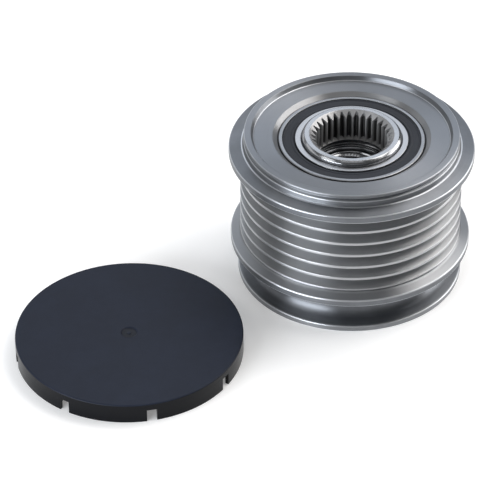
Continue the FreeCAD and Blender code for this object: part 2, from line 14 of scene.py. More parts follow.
import bmesh
import bpy
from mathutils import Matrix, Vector


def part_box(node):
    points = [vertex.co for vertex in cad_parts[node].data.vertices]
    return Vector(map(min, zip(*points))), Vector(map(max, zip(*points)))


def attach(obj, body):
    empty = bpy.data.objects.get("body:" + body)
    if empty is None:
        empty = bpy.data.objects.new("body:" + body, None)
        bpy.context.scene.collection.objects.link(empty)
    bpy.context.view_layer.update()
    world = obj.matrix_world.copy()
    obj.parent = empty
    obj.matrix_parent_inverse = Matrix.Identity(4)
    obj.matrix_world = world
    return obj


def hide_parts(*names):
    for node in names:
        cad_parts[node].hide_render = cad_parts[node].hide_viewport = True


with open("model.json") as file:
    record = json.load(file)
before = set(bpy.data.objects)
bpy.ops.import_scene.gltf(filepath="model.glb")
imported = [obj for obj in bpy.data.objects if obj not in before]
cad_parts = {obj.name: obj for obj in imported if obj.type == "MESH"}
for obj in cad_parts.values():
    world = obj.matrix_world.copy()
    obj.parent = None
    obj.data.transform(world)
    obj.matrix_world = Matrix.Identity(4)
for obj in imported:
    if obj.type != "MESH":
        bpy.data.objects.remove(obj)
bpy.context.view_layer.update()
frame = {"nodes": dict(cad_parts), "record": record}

LOG = logging.getLogger("alternator_pulley")
MM = 0.001
FULL_TURN = 2 * math.pi
MERGE_DISTANCE = 1e-6
PICK_TOLERANCE = 2e-6
SHARP_ANGLE = math.radians(40)
FLAT_WEIGHT = 80
ROUND_SEGMENTS = 3

Colour = tuple[float, float, float]
Span = tuple[float, float]
Number = Union[int, float]
Object = bpy.types.Object
Material = bpy.types.Material
Value = Union["Signal", Number]

# Painted shade: near black, for the seams between the bearings and the rim.
PAINTED_SEAM_SHADE: Colour = (0.03, 0.03, 0.032)


class Body(Enum):
    """The rigid bodies that pieces ride on."""

    HUB = "hub_side"
    RIM = "rim_side"


class Slot(Enum):
    """The record's material slots."""

    RIM = "turned_steel"
    HUB = "hub_steel"
    RING = "bearing_steel"
    BALL = "ball_steel"
    SPRING = "spring_steel"
    SEAL = "seal_rubber"
    CAGE = "cage_plastic"
    CAP = "cap_plastic"


Finishes = dict[Slot, Material]


class Signal:
    """A shader socket that can be used in Python sums, each of which adds a Math node."""

    def __init__(self, tree: "ShaderTree", socket: bpy.types.NodeSocket) -> None:
        """Wraps an output socket of a tree."""
        self.tree = tree
        self.socket = socket

    def _join(self, operation: str, first: Value, second: Value) -> "Signal":
        """Adds one Math node of an operation and its two values."""
        return self.tree.add("ShaderNodeMath", {"operation": operation}, {0: first, 1: second})

    def __add__(self, other: Value) -> "Signal":
        """Returns the sum."""
        return self._join("ADD", self, other)

    def __radd__(self, other: Number) -> "Signal":
        """Returns the sum with a number on the left."""
        return self._join("ADD", other, self)

    def __sub__(self, other: Value) -> "Signal":
        """Returns the difference."""
        return self._join("SUBTRACT", self, other)

    def __rsub__(self, other: Number) -> "Signal":
        """Returns the difference from a number on the left."""
        return self._join("SUBTRACT", other, self)

    def __mul__(self, other: Value) -> "Signal":
        """Returns the product."""
        return self._join("MULTIPLY", self, other)

    def __rmul__(self, other: Number) -> "Signal":
        """Returns the product with a number on the left."""
        return self._join("MULTIPLY", other, self)

    def __truediv__(self, other: Value) -> "Signal":
        """Returns the quotient."""
        return self._join("DIVIDE", self, other)

    def __pow__(self, other: Number) -> "Signal":
        """Returns the power."""
        return self._join("POWER", self, other)

    def __abs__(self) -> "Signal":
        """Returns the value without its sign."""
        return self._join("ABSOLUTE", self, 0.0)

    def larger(self, other: "Signal") -> "Signal":
        """Returns the larger of two values."""
        return self._join("MAXIMUM", self, other)

    def ramp(self, low: float, high: float) -> "Signal":
        """Returns a smooth step from 0 to 1 as the value goes from low to high."""
        values = {"Value": self, "From Min": low, "From Max": high}
        return self.tree.add("ShaderNodeMapRange", {"interpolation_type": "SMOOTHSTEP"}, values)

    def band(self, rise: Span, fall: Span) -> "Signal":
        """Returns 1 between a smooth step up and a smooth step down."""
        return self.ramp(*rise) * (1 - self.ramp(*fall))


@dataclass(frozen=True)
class Grain:
    """A noise: how many spots it has to the millimetre, how many layers, and how strong the fine ones are."""

    scale: float
    detail: float = 2.0
    rough: float = 0.6


class ShaderTree:
    """A material's node tree, with one method that makes every node."""

    def __init__(self, name: str) -> None:
        """Starts a material that holds nothing but its output.

        Args:
            name: The material's name.
        """
        self.material = bpy.data.materials.new(name)
        self.material.use_nodes = True
        self.nodes = self.material.node_tree.nodes
        self.links = self.material.node_tree.links
        self.nodes.clear()

    def add(
        self,
        kind: str,
        settings: Optional[dict] = None,
        values: Optional[dict] = None,
        output: Union[int, str] = 0,
    ) -> Signal:
        """Makes a node.

        Args:
            kind: The node's type.
            settings: Its settings, such as a Math node's operation.
            values: Numbers, colours or signals for its sockets, by name or index.
            output: The output that the signal carries.

        Returns:
            A signal of that output, or of nothing for an output node.
        """
        node = self.nodes.new(kind)
        for key, value in (settings or {}).items():
            setattr(node, key, value)
        for key, value in (values or {}).items():
            socket = node.inputs[key]
            if isinstance(value, Signal):
                self.links.new(value.socket, socket)
            else:
                socket.default_value = value
        return Signal(self, node.outputs[output] if len(node.outputs) else None)

    def place(self, centre: Sequence[float] = (0.0, 0.0, 0.0)) -> Signal:
        """Reads where a point of the piece lies.

        Args:
            centre: The place that counts as zero, in millimetres.

        Returns:
            The object's own coordinates in millimetres.
        """
        raw = self.add("ShaderNodeTexCoord", output="Object")
        shift = {"Vector": raw, "Location": tuple(-c for c in centre), "Scale": (1 / MM, 1 / MM, 1 / MM)}
        return self.add("ShaderNodeMapping", {"vector_type": "POINT"}, shift)

    def parts(self, vector: Signal) -> tuple[Signal, Signal, Signal]:
        """Returns a vector's X, Y and Z."""
        node = self.add("ShaderNodeSeparateXYZ", values={0: vector}).socket.node
        return tuple(Signal(self, node.outputs[axis]) for axis in range(3))

    def vector(self, x: Value, y: Value, z: Value) -> Signal:
        """Returns a vector of three values."""
        return self.add("ShaderNodeCombineXYZ", values={0: x, 1: y, 2: z})

    def noise(self, vector: Signal, grain: Grain) -> Signal:
        """Returns a noise from 0 to 1."""
        values = {"Vector": vector, "Scale": grain.scale, "Detail": grain.detail, "Roughness": grain.rough}
        return self.add("ShaderNodeTexNoise", {"noise_dimensions": "3D"}, values, "Fac")

    def blend(self, share: Signal, first: Union[Signal, Colour], second: Union[Signal, Colour]) -> Signal:
        """Returns a mix of two colours."""
        ends = [c if isinstance(c, Signal) else (*c, 1.0) for c in (first, second)]
        return self.add("ShaderNodeMix", {"data_type": "RGBA"}, {0: share, 6: ends[0], 7: ends[1]}, 2)

    def bump(self, height: Signal, depth: float, strength: float) -> Signal:
        """Returns a normal bent by a height from 0 to 1 that stands for a depth in millimetres."""
        values = {"Height": height, "Distance": depth * MM, "Strength": strength}
        return self.add("ShaderNodeBump", values=values, output="Normal")

    def finish(self, values: dict) -> Material:
        """Makes the surface shader from its values and returns the material."""
        shader = self.add("ShaderNodeBsdfPrincipled", values=values)
        self.add("ShaderNodeOutputMaterial", values={"Surface": shader})
        return self.material


@dataclass(frozen=True)
class Surface:
    """What a turned surface's shader knows of a point: its place in millimetres and its tool marks."""

    tree: ShaderTree
    place: Signal
    z: Signal
    radius: Signal
    fine: Signal
    marks: Signal


@dataclass(frozen=True)
class TurnedMetal:
    """A turned metal surface with fine tool marks that run round its axis."""

    name: str
    dark: Colour
    light: Colour
    roughness: float
    roughness_swing: float
    stretch: float
    mark_depth: float
    across_turn: float = 0.25
    mark_scale: float = 3.2
    mark_spread: float = 0.9
    mark_strength: float = 0.5
    broad_marks: Grain = Grain(0.55)
    fine_marks: Grain = Grain(2.3, rough=0.55)
    fine_share: float = 0.55
    clouds: Grain = Grain(0.16, 3.0)
    cloud_share: float = 0.6
    contrast: Span = (0.3, 0.72)
    axis_core: float = 0.01

    def shade(self, at: Surface) -> Signal:
        """Colours the metal, a little cloudy and streaked along the tool marks.

        Args:
            at: The surface.

        Returns:
            The colour.
        """
        cloud = at.tree.noise(at.place, self.clouds)
        share = cloud * self.cloud_share + at.marks * (1 - self.cloud_share)
        return at.tree.blend(share.ramp(*self.contrast), self.dark, self.light)

    def purity(self, at: Surface) -> Value:
        """Returns how metallic the surface is."""
        return 1.0

    def polish(self, at: Surface) -> Signal:
        """Returns the roughness, uneven along the finest tool marks."""
        return (at.fine - 0.5) * self.roughness_swing + self.roughness

    def surface(self, tree: ShaderTree) -> Surface:
        """Reads the place of a point and works out its tool marks.

        Args:
            tree: The material's tree.

        Returns:
            The surface.
        """
        place = tree.place()
        x, y, z = tree.parts(place)
        radius = (x * x + y * y) ** 0.5
        turned = x / (radius + self.axis_core) * self.mark_spread
        path = tree.vector(radius * self.mark_scale, z * self.mark_scale, turned)
        broad, fine = tree.noise(path, self.broad_marks), tree.noise(path, self.fine_marks)
        marks = broad * (1 - self.fine_share) + fine * self.fine_share
        return Surface(tree, place, z, radius, fine, marks)

    def material(self) -> Material:
        """Builds the material.

        Returns:
            The finished node material.
        """
        at = self.surface(ShaderTree(self.name))
        return at.tree.finish({
            "Base Color": self.shade(at),
            "Metallic": self.purity(at),
            "Roughness": self.polish(at),
            "Anisotropic": self.stretch,
            "Anisotropic Rotation": self.across_turn,
            "Normal": at.tree.bump(at.marks, self.mark_depth, self.mark_strength),
        })


@dataclass(frozen=True)
class Wall:
    """An upright wall of the rim, and how strong the painted highlight at its two ends is."""

    radius: float
    low: float
    high: float
    brightness: float


@dataclass(frozen=True)
class BeltMetal(TurnedMetal):
    """The rim's steel, with painted light, painted highlights and painted shade in its colour.

    A span gives the heights or radii, in millimetres, between which one of the painted tones begins or ends.
    Those of wall_skin, edge_line and beyond are counted from a wall's own surface or end.
    """

    outside: Span = (24.05, 24.45)
    track: Span = (12.5, 33.9)
    flange: Span = (10.8, 12.0)
    foot: Span = (-1.0, 1.55)
    fade: float = 0.15
    # Painted light: the track, the rear flange and the foot are coloured lighter in place of reflected light.
    track_light_share: float = 0.9
    flange_light_share: float = 0.55
    foot_light_share: float = 0.45
    painted_light: Colour = (0.38, 0.386, 0.396)
    # Painted highlight: a bright band along the crests of the grooves.
    crest_rise: Span = (27.81, 27.92)
    crest_fall: Span = (28.0, 28.15)
    crest_highlight_share: float = 0.7
    painted_crest_highlight: Colour = (0.5, 0.51, 0.525)
    # Painted light: the top face is coloured lighter, streaked along the tool marks.
    face_height: Span = (39.2, 39.3)
    face_share: float = 0.5
    face_swing: float = 0.4
    painted_face_light: Colour = (0.205, 0.215, 0.231)
    # Painted highlights: thin bright lines at both ends of these walls.
    walls: tuple[Wall, ...] = (
        Wall(30.81, 35.25, 37.02, 0.75),
        Wall(30.37, 9.3, 11.1, 0.75),
        Wall(28.57, 0.0, 1.5, 0.65),
        Wall(27.0, 39.9, 40.8, 0.35),
        Wall(27.05, 37.35, 39.07, 0.55),
        Wall(27.62, 36.2, 37.8, 0.85),
        Wall(24.78, 37.0, 39.75, 0.7),
    )
    wall_skin: Span = (-0.3, -0.22)
    edge_line: Span = (-0.24, -0.16)
    beyond: Span = (0.05, 0.1)
    # The colour of the painted highlights at the wall ends.
    edge: Colour = (0.62, 0.64, 0.67)
    # Painted highlight on the chamfer at the bearing's opening in the rim.
    seat_mouth: Span = (19.72, 19.85)
    painted_seat_highlight: Colour = (0.27, 0.274, 0.282)
    # Painted shade in the seam between the bearing and the rim.
    seam: Span = (18.56, 18.7)

    def shade(self, at: Surface) -> Signal:
        """Colours the steel and paints light, highlights and shade into it.

        Args:
            at: The surface.

        Returns:
            The colour.
        """
        blend = at.tree.blend
        outside = at.radius.ramp(*self.outside)
        track, flange, foot = (
            at.z.band((low - self.fade, low), (high, high + self.fade)) * outside
            for low, high in (self.track, self.flange, self.foot)
        )
        # Painted light: lighter in the belt track, at the rear flange and at the foot.
        painted_light = track * self.track_light_share + flange * self.flange_light_share + foot * self.foot_light_share
        colour = blend(painted_light, super().shade(at), self.painted_light)
        # Painted highlight along the crests of the grooves.
        crest = at.radius.band(self.crest_rise, self.crest_fall) * track
        colour = blend(crest * self.crest_highlight_share, colour, self.painted_crest_highlight)
        # Painted light on the top face.
        top = at.z.ramp(*self.face_height) * (at.marks * self.face_swing + self.face_share)
        colour = blend(top, colour, self.painted_face_light)
        # Painted highlight at the ends of the upright walls.
        colour = blend(self.wall_end_highlight(at), colour, self.edge)
        # Painted highlight on the chamfer at the bearing's opening.
        colour = blend(1 - at.radius.ramp(*self.seat_mouth), colour, self.painted_seat_highlight)
        # Painted shade: the seam beside the bearing is coloured near black.
        return blend(1 - at.radius.ramp(*self.seam), colour, PAINTED_SEAM_SHADE)

    def wall_end_highlight(self, at: Surface) -> Signal:
        """Finds the ends of the upright walls, where a painted highlight goes.

        Args:
            at: The surface.

        Returns:
            The painted highlight's strength there, and 0 elsewhere.
        """
        total: Value = 0.0
        for wall in self.walls:
            half = (wall.high - wall.low) / 2
            off_middle = abs(at.z - (wall.low + wall.high) / 2)
            at_wall = self.just_at(at.radius, wall.radius, self.wall_skin)
            total = at_wall * self.just_at(off_middle, half, self.edge_line) * wall.brightness + total
        return total

    def just_at(self, value: Signal, end: float, rise: Span) -> Signal:
        """Returns 1 close to an end and 0 away from it, with the rise counted from the end."""
        return value.band((end + rise[0], end + rise[1]), (end + self.beyond[0], end + self.beyond[1]))


@dataclass(frozen=True)
class HubMetal(TurnedMetal):
    """The hub's steel: ground and polished outside, matt and oily where the socket's teeth are cut."""

    socket_edge: Span = (10.56, 10.66)
    socket_floor: Span = (31.8, 32.15)
    cut: Colour = (0.5, 0.5, 0.505)
    gap_depth: Span = (9.1, 9.7)
    gap_floor: Span = (32.65, 32.85)
    gap_top: Span = (38.85, 39.1)
    # Painted shade deep in the gaps between the teeth.
    painted_gap_shade: Colour = (0.1, 0.1, 0.1)
    # Painted shade: the chamfer above the teeth is coloured darker.
    painted_mouth_shade: Colour = (0.33, 0.33, 0.335)
    oil: float = 0.16
    matt: float = 0.2

    def inside(self, at: Surface) -> Signal:
        """Returns 1 on the socket's teeth and 0 below and outside them."""
        return (1 - at.radius.ramp(*self.socket_edge)) * at.z.ramp(*self.socket_floor)

    def shade(self, at: Surface) -> Signal:
        """Colours the steel, lighter on the teeth, with painted shade in the gaps and on the chamfer above.

        Args:
            at: The surface.

        Returns:
            The colour.
        """
        # Painted shade deep in the gaps, above their floor.
        deep = at.radius.ramp(*self.gap_depth) * at.z.ramp(*self.gap_floor)
        teeth = at.tree.blend(deep, self.cut, self.painted_gap_shade)
        # Painted shade on the chamfer above the teeth.
        socket = at.tree.blend(at.z.ramp(*self.gap_top), teeth, self.painted_mouth_shade)
        return at.tree.blend(self.inside(at), super().shade(at), socket)

    def purity(self, at: Surface) -> Signal:
        """Returns how metallic the surface is, less so in the oily socket."""
        return 1 - self.inside(at) * self.oil

    def polish(self, at: Surface) -> Signal:
        """Returns the roughness, higher in the socket."""
        return super().polish(at) + self.inside(at) * self.matt


@dataclass(frozen=True)
class RingMetal(TurnedMetal):
    """The bearing rings' steel: lighter on the inner ring, with painted shade in the outer one's seam."""

    between: Span = (14.6, 16.6)
    bright: Colour = (0.37, 0.375, 0.388)
    bright_share: float = 0.9
    # Painted shade in the seam at the outer ring's edge.
    seam: Span = (18.24, 18.34)

    def shade(self, at: Surface) -> Signal:
        """Colours the steel, brighter inside the balls, with painted shade in the seam.

        Args:
            at: The surface.

        Returns:
            The colour.
        """
        inside = (1 - at.radius.ramp(*self.between)) * self.bright_share
        ground = at.tree.blend(inside, super().shade(at), self.bright)
        # Painted shade in the seam at the outer ring's edge.
        return at.tree.blend(at.radius.ramp(*self.seam), ground, PAINTED_SEAM_SHADE)


@dataclass(frozen=True)
class Moulded:
    """A moulded rubber or plastic surface with a fine even grain."""

    name: str
    dark: Colour
    light: Colour
    roughness: float
    gloss: float
    grain_depth: float
    grain: Grain
    centre: tuple[float, float, float] = (0.0, 0.0, 0.0)
    grain_strength: float = 0.6
    patches: Grain = Grain(0.13, 3.0, 0.65)
    patch_share: float = 0.7
    contrast: Span = (0.32, 0.7)
    roughness_swing: float = 0.16

    def tint(self, tree: ShaderTree, z: Signal, share: Signal) -> Signal:
        """Returns the colour, a little lighter where the share is high."""
        return tree.blend(share, self.dark, self.light)

    def sheen(self, z: Signal, patch: Signal) -> Signal:
        """Returns the roughness, uneven in broad soft patches."""
        return (patch - 0.5) * self.roughness_swing + self.roughness

    def material(self) -> Material:
        """Builds the material.

        Returns:
            The finished node material.
        """
        tree = ShaderTree(self.name)
        place = tree.place(self.centre)
        z = tree.parts(place)[2]
        patch, grain = tree.noise(place, self.patches), tree.noise(place, self.grain)
        share = patch * self.patch_share + grain * (1 - self.patch_share)
        return tree.finish({
            "Base Color": self.tint(tree, z, share.ramp(*self.contrast)),
            "Roughness": self.sheen(z, patch),
            "Specular IOR Level": self.gloss,
            "Normal": tree.bump(grain, self.grain_depth, self.grain_strength),
        })


@dataclass(frozen=True)
class CapPlastic(Moulded):
    """The cap's plastic: eroded and matt on top, smoother on its skirt, with painted shade there."""

    top_edge: Span = (4.85, 5.2)
    skirt_roughness: float = 0.24
    # Painted shade: the skirt is coloured blacker than the top.
    skirt: Colour = (0.003, 0.0035, 0.005)

    def tint(self, tree: ShaderTree, z: Signal, share: Signal) -> Signal:
        """Returns the colour, blacker on the skirt as painted shade."""
        # Painted shade on the skirt.
        return tree.blend(z.ramp(*self.top_edge), self.skirt, super().tint(tree, z, share))

    def sheen(self, z: Signal, patch: Signal) -> Signal:
        """Returns the roughness, lower on the skirt."""
        skirt = 1 - z.ramp(*self.top_edge)
        return super().sheen(z, patch) - skirt * (self.roughness - self.skirt_roughness)


@dataclass(frozen=True)
class Corner:
    """One corner of a turned piece's section, in millimetres, and the size of its rounding."""

    radius: float
    height: float
    rounding: float = 0.0

    def point(self) -> Vector:
        """Returns the corner's place in metres, in the XZ plane."""
        return Vector((self.radius * MM, 0.0, self.height * MM))


def start_alone() -> None:
    """Leaves nothing selected, so that an operator acts on the new piece alone."""
    bpy.ops.object.select_all(action="DESELECT")


def take(piece: Object) -> None:
    """Selects one piece alone and makes it the active one.

    Args:
        piece: The piece that the next operators act on.
    """
    start_alone()
    piece.select_set(True)
    bpy.context.view_layer.objects.active = piece


@contextmanager
def editing() -> Iterator[None]:
    """Holds the active piece in edit mode for the length of a block."""
    bpy.ops.object.mode_set(mode="EDIT")
    yield
    bpy.ops.object.mode_set(mode="OBJECT")


def pick(piece: Object, wanted: Callable[[Vector], bool]) -> None:
    """Selects the vertices of a piece in edit mode by their place.

    Args:
        piece: The piece that is being edited.
        wanted: Says whether a place in metres is picked.
    """
    mesh = bmesh.from_edit_mesh(piece.data)
    for item in (*mesh.faces, *mesh.edges, *mesh.verts):
        item.select = False
    for vertex in mesh.verts:
        vertex.select = wanted(vertex.co)
    mesh.select_flush(True)
    bmesh.update_edit_mesh(piece.data)


def pick_at(piece: Object, spots: Sequence[Vector]) -> None:
    """Selects the vertices of a piece in edit mode that lie at given places in metres."""
    pick(piece, lambda place: any((place - spot).length < PICK_TOLERANCE for spot in spots))


def draw_section(name: str, corners: Sequence[Corner]) -> Object:
    """Draws a section corner by corner in the XZ plane, and leaves it in edit mode.

    Args:
        name: The piece's name.
        corners: The section's corners in order. It is closed, unless both ends lie on the axis.

    Returns:
        The piece.
    """
    start_alone()
    bpy.ops.mesh.primitive_plane_add(size=MM, location=corners[0].point())
    piece = bpy.context.object
    piece.name = name
    bpy.ops.object.transform_apply()
    bpy.ops.object.mode_set(mode="EDIT")
    bpy.ops.mesh.select_mode(type="VERT")
    bpy.ops.mesh.select_all(action="SELECT")
    bpy.ops.mesh.merge(type="CENTER")
    for here, there in zip(corners, corners[1:]):
        step = there.point() - here.point()
        bpy.ops.mesh.extrude_vertices_move(TRANSFORM_OT_translate={"value": step})
    ends = (corners[0], corners[-1])
    if any(end.radius > 0 for end in ends):
        pick_at(piece, [end.point() for end in ends])
        bpy.ops.mesh.edge_face_add()
    return piece


def round_corners(piece: Object, corners: Sequence[Corner]) -> None:
    """Bevels the corners of a section that have a rounding, one size at a time.

    Args:
        piece: The drawn section, in edit mode.
        corners: Its corners.
    """
    for size in sorted({corner.rounding for corner in corners if corner.rounding > 0}):
        pick_at(piece, [corner.point() for corner in corners if corner.rounding == size])
        bpy.ops.mesh.bevel(offset_type="OFFSET", offset=size * MM, segments=ROUND_SEGMENTS, affect="VERTICES")


def close_mesh(hole_sides: int = 0) -> None:
    """Merges the doubles of the edited piece, turns its faces outward and leaves edit mode.

    Args:
        hole_sides: The most sides of a hole that is filled, or 0 to fill none.
    """
    bpy.ops.mesh.select_all(action="SELECT")
    bpy.ops.mesh.remove_doubles(threshold=MERGE_DISTANCE)
    bpy.ops.mesh.select_all(action="SELECT")
    if hole_sides:
        bpy.ops.mesh.fill_holes(sides=hole_sides)
        bpy.ops.mesh.select_all(action="SELECT")
    bpy.ops.mesh.normals_make_consistent(inside=False)
    bpy.ops.object.mode_set(mode="OBJECT")


def turn(name: str, corners: Sequence[Corner], steps: int) -> Object:
    """Makes a turned piece: draws its section, rounds its corners and spins it about the Z axis.

    Args:
        name: The piece's name.
        corners: The section's corners.
        steps: The number of steps in the full turn.

    Returns:
        The piece, in object mode, closed and with its normals outward.
    """
    piece = draw_section(name, corners)
    round_corners(piece, corners)
    bpy.ops.mesh.select_all(action="SELECT")
    bpy.ops.mesh.spin(steps=steps, angle=FULL_TURN, center=(0, 0, 0), axis=(0, 0, 1), use_auto_merge=True)
    close_mesh()
    return piece


def move_by(piece: Object, shift: Sequence[float], angle: float = 0.0) -> None:
    """Turns a piece about Z, moves it and applies both, so that its place is in its mesh.

    Args:
        piece: The piece.
        shift: How far it moves along X, Y and Z, in millimetres.
        angle: How far it turns first, in radians.
    """
    take(piece)
    piece.rotation_euler.z = angle
    piece.location = [s * MM for s in shift]
    bpy.ops.object.transform_apply()


def copy_round(piece: Object, count: int) -> None:
    """Repeats a mesh round the Z axis, each copy made from the one before.

    Args:
        piece: The piece with the first copy.
        count: How many copies there are in the end.
    """
    take(piece)
    with editing():
        bpy.ops.mesh.select_all(action="SELECT")
        for _ in range(count - 1):
            bpy.ops.mesh.duplicate()
            bpy.ops.transform.rotate(value=FULL_TURN / count, orient_axis="Z", center_override=(0, 0, 0))


def apply_modifier(piece: Object, kind: str, settings: dict) -> None:
    """Adds a modifier and applies it.

    Args:
        piece: The piece.
        kind: The modifier's type.
        settings: Its settings by name.
    """
    take(piece)
    modifier = piece.modifiers.new(kind.title(), kind)
    for key, value in settings.items():
        setattr(modifier, key, value)
    bpy.ops.object.modifier_apply(modifier=modifier.name)


def cut(piece: Object, tool: Object) -> None:
    """Cuts a tool's shape out of a piece and removes the tool."""
    apply_modifier(piece, "BOOLEAN", {"operation": "DIFFERENCE", "solver": "EXACT", "object": tool})
    bpy.data.objects.remove(tool)


def smooth(piece: Object) -> None:
    """Shades a piece smooth up to its sharp edges, with flat faces kept flat beside their roundings.

    Args:
        piece: The finished piece.
    """
    take(piece)
    bpy.ops.object.shade_smooth_by_angle(angle=SHARP_ANGLE)
    apply_modifier(piece, "WEIGHTED_NORMAL", {"mode": "FACE_AREA", "weight": FLAT_WEIGHT, "keep_sharp": True})


def wedge(name: str, inner: Span, outer: Span, low: float, high: float) -> Object:
    """Makes an upright cutter along +X that is one width at its inner end and another at its outer end.

    Args:
        name: The cutter's name.
        inner: Radius and width of the inner end, in millimetres.
        outer: Radius and width of the outer end, in millimetres.
        low: Height of the bottom, in millimetres.
        high: Height of the top, in millimetres.

    Returns:
        The cutter.
    """
    start_alone()
    middle = Vector(((inner[0] + outer[0]) / 2, 0, (low + high) / 2)) * MM
    bpy.ops.mesh.primitive_cube_add(size=1, location=middle)
    tool = bpy.context.object
    tool.name = name
    tool.scale = Vector((outer[0] - inner[0], inner[1], high - low)) * MM
    bpy.ops.object.transform_apply()
    with editing():
        pick(tool, lambda place: place.x > middle.x)
        bpy.ops.transform.resize(value=(1, outer[1] / inner[1], 1), center_override=(middle.x, 0, middle.z))
    return tool


@dataclass
class Piece:
    """A modelled piece: what it is called, what it stands for, rides on and is finished in."""

    item: Object
    stands_for: Sequence[str]
    body: Body
    slot: Slot

    def settle(self, finishes: Finishes) -> None:
        """Smooths the piece, finishes it for its slot, attaches it to its body and hides the nodes it stands
        for.

        Args:
            finishes: The material of each slot.
        """
        smooth(self.item)
        self.item.data.materials.clear()
        self.item.data.materials.append(finishes[self.slot])
        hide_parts(*self.stands_for)
        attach(self.item, self.body.value)
        LOG.info("%s: %d faces, rides on %s", self.item.name, len(self.item.data.polygons), self.body.value)


@dataclass
class PulleyRim:
    """The belt rim: ribbed track between two flanges, wide rear groove, spigot and recessed face in front."""

    crest_radius: float = 27.95
    groove_count: int = 6
    groove_pitch: float = 3.56
    groove_depth: float = 2.9
    groove_slope: float = math.radians(20)
    root_width: float = 0.7
    first_groove: float = 14.3
    crest_rounding: float = 0.13
    root_rounding: float = 0.3
    front_flange: float = 30.81
    front_flange_edge: float = 1.77
    front_flange_slope: float = 1.37
    rear_flange: float = 30.37
    rear_flange_edge: float = 1.8
    flange_crown: float = 0.7
    flange_rounding: float = 0.28
    relief_depth: float = 0.3
    relief_width: float = 0.72
    end_flange: float = 28.57
    end_flange_edge: float = 1.5
    rear_groove: float = 24.4
    rear_groove_slope: float = 1.1
    rear_groove_rounding: float = 1.9
    foot_radius: float = 27.25
    bead_radius: float = 27.05
    bead_height: float = 1.35
    snap_radius: float = 26.4
    snap_width: float = 0.35
    snap_slope: float = 0.4
    lip_radius: float = 27.0
    lip_bevel: float = 0.2
    recess_radius: float = 25.2
    recess_slope: float = 0.6
    recess_depth: float = 1.14
    seat_radius: float = 18.5
    seat_mouth: float = 1.3
    seat_mouth_depth: float = 1.06
    rear_lip: float = 17.3
    rear_lip_height: float = 0.98
    steps: int = 288

    def track(self) -> Iterator[Corner]:
        """Goes along the belt grooves, from the rear to the front.

        Returns:
            Their corners, one by one.
        """
        half_root = self.root_width / 2
        half_mouth = half_root + self.groove_depth * math.tan(self.groove_slope)
        root = self.crest_radius - self.groove_depth
        for number in range(self.groove_count):
            middle = self.first_groove + number * self.groove_pitch
            yield Corner(self.crest_radius, middle - half_mouth, self.crest_rounding)
            yield Corner(root, middle - half_root, self.root_rounding)
            yield Corner(root, middle + half_root, self.root_rounding)
            yield Corner(self.crest_radius, middle + half_mouth, self.crest_rounding)

    def section(self) -> list[Corner]:
        """Draws the rim's section, up its outside and down its bore.

        Returns:
            The corners.
        """
        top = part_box("pulley_rim")[1].z / MM
        track_low = self.first_groove - self.groove_pitch / 2
        track_high = self.first_groove + self.groove_pitch * (self.groove_count - 0.5)
        rear_top = track_low - self.relief_width - self.flange_crown
        rear_low = rear_top - self.rear_flange_edge
        front_low = track_high + self.front_flange_slope
        front_top = front_low + self.front_flange_edge
        foot = front_top + self.flange_crown
        bead = foot + self.bead_height
        snap = bead + self.snap_slope
        face = top - self.recess_depth
        edge = self.flange_rounding
        hollow = self.rear_groove_rounding
        return [
            Corner(self.rear_lip, 0, 0.2),
            Corner(self.end_flange, 0, edge),
            Corner(self.end_flange, self.end_flange_edge, edge),
            Corner(self.rear_groove, self.end_flange_edge + self.rear_groove_slope, hollow),
            Corner(self.rear_groove, rear_low - self.rear_groove_slope, hollow),
            Corner(self.rear_flange, rear_low, edge),
            Corner(self.rear_flange, rear_top, edge),
            Corner(self.crest_radius + self.relief_depth, rear_top + self.flange_crown, 0.07),
            Corner(self.crest_radius - self.relief_depth, track_low - self.relief_width / 2, 0.06),
            Corner(self.crest_radius, track_low, 0.06),
            *self.track(),
            Corner(self.crest_radius, track_high, 0.25),
            Corner(self.front_flange, front_low, edge),
            Corner(self.front_flange, front_top, edge),
            Corner(self.foot_radius, foot, 0.22),
            Corner(self.bead_radius, bead, 0.14),
            Corner(self.snap_radius, snap, 0.06),
            Corner(self.snap_radius, snap + self.snap_width, 0.06),
            Corner(self.lip_radius, snap + self.snap_width + self.lip_bevel, 0.06),
            Corner(self.lip_radius, top, 0.24),
            Corner(self.recess_radius, top, 0.12),
            Corner(self.recess_radius - self.recess_slope, face, 0.3),
            Corner(self.seat_radius + self.seat_mouth, face, 0.1),
            Corner(self.seat_radius, face - self.seat_mouth_depth, 0.08),
            Corner(self.seat_radius, self.rear_lip_height),
            Corner(self.rear_lip, self.rear_lip_height, 0.1),
        ]

    def build(self) -> Piece:
        """Turns the rim."""
        item = turn("belt_rim", self.section(), self.steps)
        return Piece(item, ["pulley_rim"], Body.RIM, Slot.RIM)


